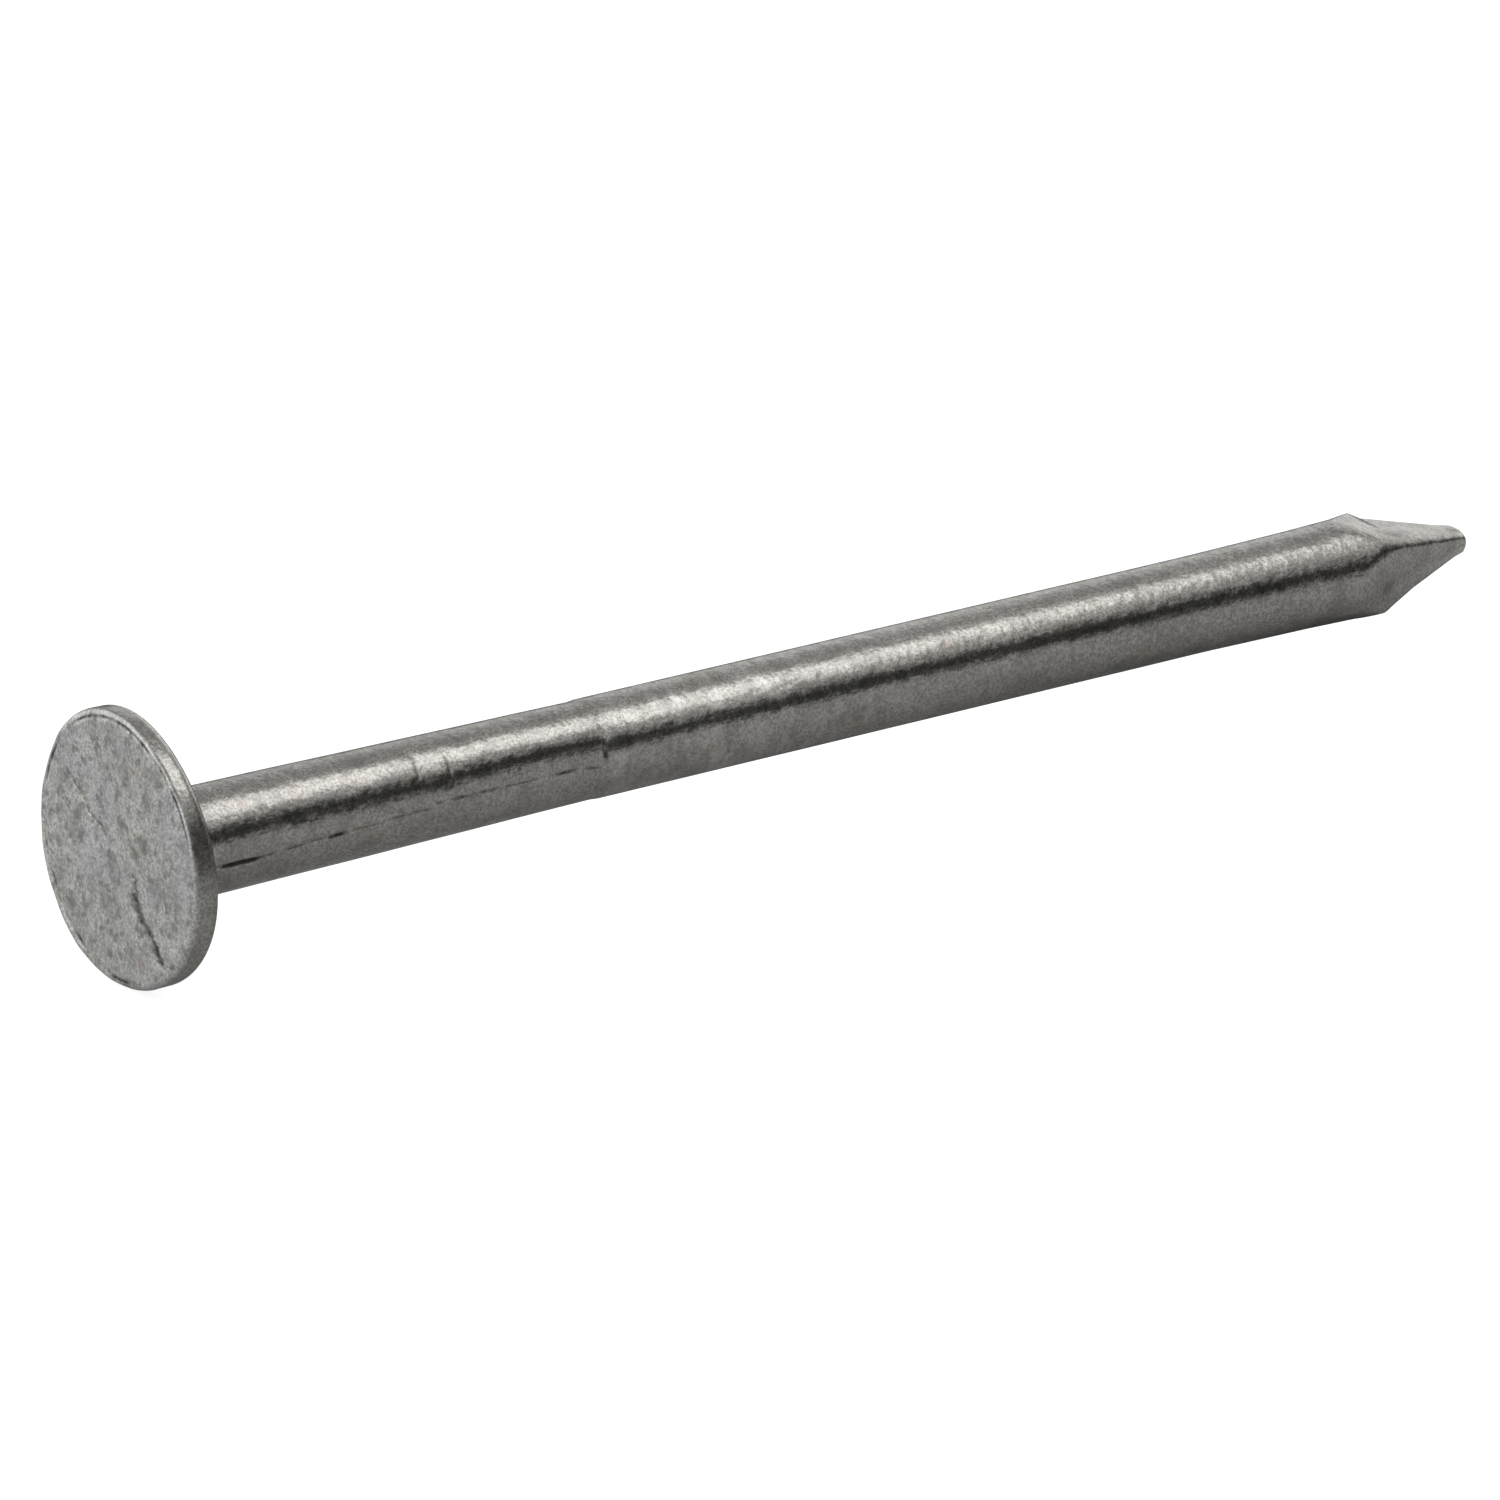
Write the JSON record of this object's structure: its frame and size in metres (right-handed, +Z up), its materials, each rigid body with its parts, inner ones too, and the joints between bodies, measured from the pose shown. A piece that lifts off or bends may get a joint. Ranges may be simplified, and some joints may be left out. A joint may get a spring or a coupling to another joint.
{
  "type": "nail",
  "caption": "Round wire nail with a large thin flat head, a plain steel shank and a nipped diamond point, for fixing sheet or battens to timber",
  "frame": {"origin": "On the axis of the wire, in the plane of the head's underside, where the nail seats when it is driven home", "axes": "+X runs from the head to the point along the wire, +Z is up as the nail lies, +Y completes the right-handed set"},
  "size_m": [0.05, 0.0083, 0.0083],
  "materials": {
    "bright_steel": "bright drawn steel wire, satin and finely pitted, unplated, with darker scale in the marks of the heading dies"
  },
  "bodies": {
    "root": {"nail": "bright_steel"}
  },
  "joints": []
}
